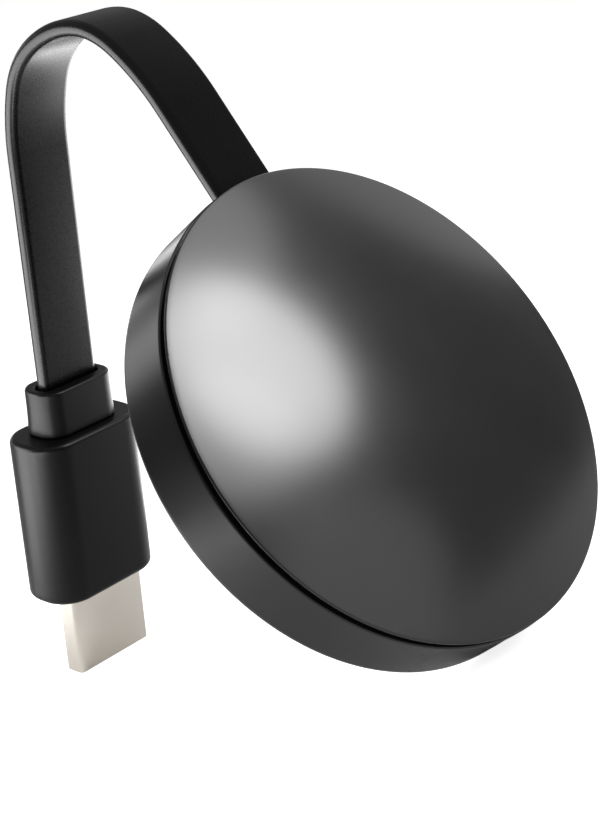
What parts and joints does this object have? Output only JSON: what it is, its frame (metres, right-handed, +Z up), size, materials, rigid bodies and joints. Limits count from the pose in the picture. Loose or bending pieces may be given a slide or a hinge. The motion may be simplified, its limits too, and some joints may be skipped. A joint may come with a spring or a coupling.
{
  "type": "streaming media stick",
  "caption": "Round streaming dongle with a domed cover, a short flat bendable lead and a video plug.",
  "frame": {"origin": "the middle of the box on the surface that the puck's back rim and the plug's end stand on", "axes": "+Z up; the puck's domed cover faces -Y, leaning back, and the lead arches over to +Y; +X is across the lead"},
  "size_m": [0.064, 0.0858, 0.0885],
  "materials": {
    "cover_plastic": "satin",
    "band_plastic": "satin",
    "board_laminate": "solder mask",
    "screw_steel": "bright",
    "chip_plastic": "matt",
    "tinned_steel": "tinned",
    "inductor_ferrite": "matt",
    "capacitor_ceramic": "matt",
    "antenna_ceramic": "matt",
    "thermal_pad": "matt",
    "spreader_metal": "matt",
    "connector_plastic": "matt",
    "contact_gold": "gold plated",
    "switch_plastic": "matt",
    "plunger_plastic": "matt",
    "button_plastic": "satin",
    "light_plastic": "clear, frosted",
    "lead_rubber": "satin",
    "anchor_rubber": "matt",
    "header_plastic": "matt",
    "wire_metal": "tinned",
    "relief_rubber": "satin",
    "grip_plastic": "satin",
    "mould_plastic": "matt",
    "shell_metal": "nickel plated"
  },
  "bodies": {
    "puck": {"rear_housing": "band_plastic", "front_cover": "cover_plastic", "main_board": "board_laminate", "board_screws": "screw_steel", "processor": "chip_plastic", "memory_chip": "chip_plastic", "flash_chip": "chip_plastic", "wireless_module": "tinned_steel", "power_chip": "chip_plastic", "power_inductors": "inductor_ferrite", "board_capacitors": "capacitor_ceramic", "timing_crystal": "tinned_steel", "chip_antennas": "antenna_ceramic", "processor_pad": "thermal_pad", "shield_frame": "tinned_steel", "shield_lid": "tinned_steel", "lid_pad": "thermal_pad", "heat_spreader": "spreader_metal", "usb_shell": "tinned_steel", "usb_tongue": "connector_plastic", "usb_contacts": "contact_gold", "reset_switch": "switch_plastic", "status_led": "light_plastic", "light_pipe": "light_plastic", "lead_anchor": "anchor_rubber", "lead_header": "header_plastic", "lead_wires": "wire_metal", "lead_root": "lead_rubber"},
    "lead_link_1": {"lead_link_1": "lead_rubber"},
    "lead_link_2": {"lead_link_2": "lead_rubber"},
    "lead_link_3": {"lead_link_3": "lead_rubber"},
    "lead_link_4": {"lead_link_4": "lead_rubber"},
    "lead_link_5": {"lead_link_5": "lead_rubber"},
    "lead_link_6": {"lead_link_6": "lead_rubber"},
    "lead_link_7": {"lead_link_7": "lead_rubber"},
    "plug": {"lead_tail": "lead_rubber", "strain_relief": "relief_rubber", "plug_grip": "grip_plastic", "inner_mould": "mould_plastic", "rear_shield": "tinned_steel", "plug_shell": "shell_metal", "contact_carrier": "connector_plastic", "plug_contacts": "contact_gold", "plug_wires": "wire_metal"},
    "button": {"reset_button": "button_plastic"},
    "plunger": {"switch_plunger": "plunger_plastic"}
  },
  "joints": [
    {"name": "lead_bend_1", "type": "hinge", "parent": "puck", "child": "lead_link_1", "pos_m": [0, -0.00999, 0.0786], "axis": [1, 0, 0], "range_deg": [-5, 17.5]},
    {"name": "lead_bend_2", "type": "hinge", "parent": "lead_link_1", "child": "lead_link_2", "pos_m": [0, -0.00565, 0.08435], "axis": [1, 0, 0], "range_deg": [-5, 17.5]},
    {"name": "lead_bend_3", "type": "hinge", "parent": "lead_link_2", "child": "lead_link_3", "pos_m": [0, -0.00273, 0.08632], "axis": [1, 0, 0], "range_deg": [-5, 17.5]},
    {"name": "lead_bend_4", "type": "hinge", "parent": "lead_link_3", "child": "lead_link_4", "pos_m": [0, 0.00083, 0.08728], "axis": [1, 0, 0], "range_deg": [-5, 17.5]},
    {"name": "lead_bend_5", "type": "hinge", "parent": "lead_link_4", "child": "lead_link_5", "pos_m": [0, 0.00557, 0.08708], "axis": [1, 0, 0], "range_deg": [-5, 17.5]},
    {"name": "lead_bend_6", "type": "hinge", "parent": "lead_link_5", "child": "lead_link_6", "pos_m": [0, 0.00978, 0.08566], "axis": [1, 0, 0], "range_deg": [-5, 17.5]},
    {"name": "lead_bend_7", "type": "hinge", "parent": "lead_link_6", "child": "lead_link_7", "pos_m": [0, 0.01271, 0.08344], "axis": [1, 0, 0], "range_deg": [-5, 17.5]},
    {"name": "lead_bend_8", "type": "hinge", "parent": "lead_link_7", "child": "plug", "pos_m": [0, 0.01625, 0.07806], "axis": [1, 0, 0], "range_deg": [-5, 17.5]},
    {"name": "reset_press", "type": "slide", "parent": "puck", "child": "button", "axis": [-0.5299, 0.309, 0.7897], "range_m": [0, 0.0004], "stiffness_N_per_m": 600, "springref_m": -0.001},
    {"name": "plunger_press", "type": "slide", "parent": "puck", "child": "plunger", "axis": [-0.5299, 0.309, 0.7897], "range_m": [0, 0.0004]}
  ],
  "couplings": [
    {"joint": "plunger_press", "follows": "reset_press", "ratio": 1}
  ]
}
